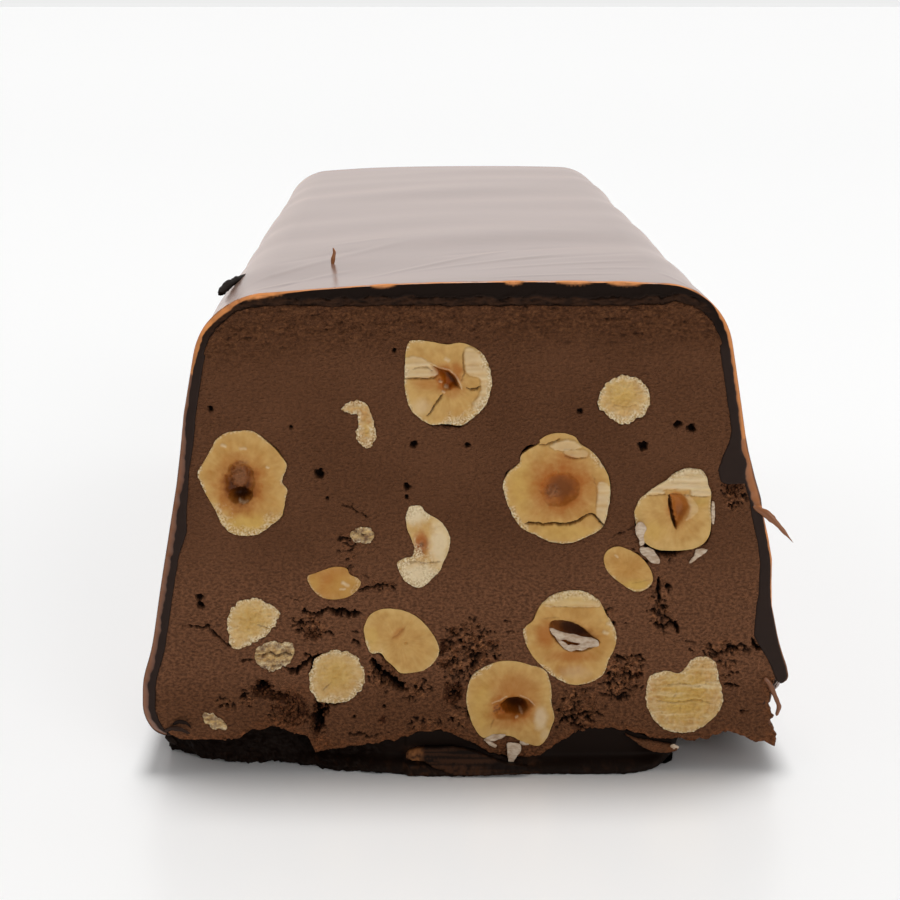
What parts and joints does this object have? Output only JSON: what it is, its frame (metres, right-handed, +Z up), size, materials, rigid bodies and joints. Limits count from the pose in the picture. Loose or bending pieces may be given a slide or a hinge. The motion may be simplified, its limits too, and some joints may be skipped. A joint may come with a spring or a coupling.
{
  "type": "chocolate hazelnut nougat bar",
  "caption": "Loaf-shaped bar of soft chocolate nougat with whole hazelnuts, coated in dark chocolate and cut straight across at one end.",
  "frame": {"origin": "on the table under the middle of the bar, at the bottom centre of its box", "axes": "+Y runs along the bar from the cut face at -Y to the moulded end, +X to the right as the cut face is looked at, +Z up"},
  "size_m": [0.0829, 0.1839, 0.0635],
  "materials": {
    "dark_chocolate": "glossy moulded dark chocolate, satin where it is cut",
    "nougat": "matte, fine-pored soft chocolate nougat",
    "hazelnut": "satin cut kernel, darker round its hollow heart"
  },
  "bodies": {
    "root": {"coating": "dark_chocolate", "base": "dark_chocolate", "nougat": "nougat", "hazelnut_left": "hazelnut", "hazelnut_top": "hazelnut", "hazelnut_centre": "hazelnut", "hazelnut_right": "hazelnut", "hazelnut_slit": "hazelnut", "hazelnut_square": "hazelnut", "hazelnut_smooth": "hazelnut", "hazelnut_heart": "hazelnut", "hazelnut_crescent": "hazelnut", "hazelnut_golden": "hazelnut", "hazelnut_oval": "hazelnut", "hazelnut_pale_upper": "hazelnut", "hazelnut_pale_lower": "hazelnut", "hazelnut_pale_round": "hazelnut", "hazelnut_chip_streak": "hazelnut", "hazelnut_chip_hooked": "hazelnut", "hazelnut_chip_corner": "hazelnut", "hazelnut_chip_small": "hazelnut"}
  },
  "joints": []
}
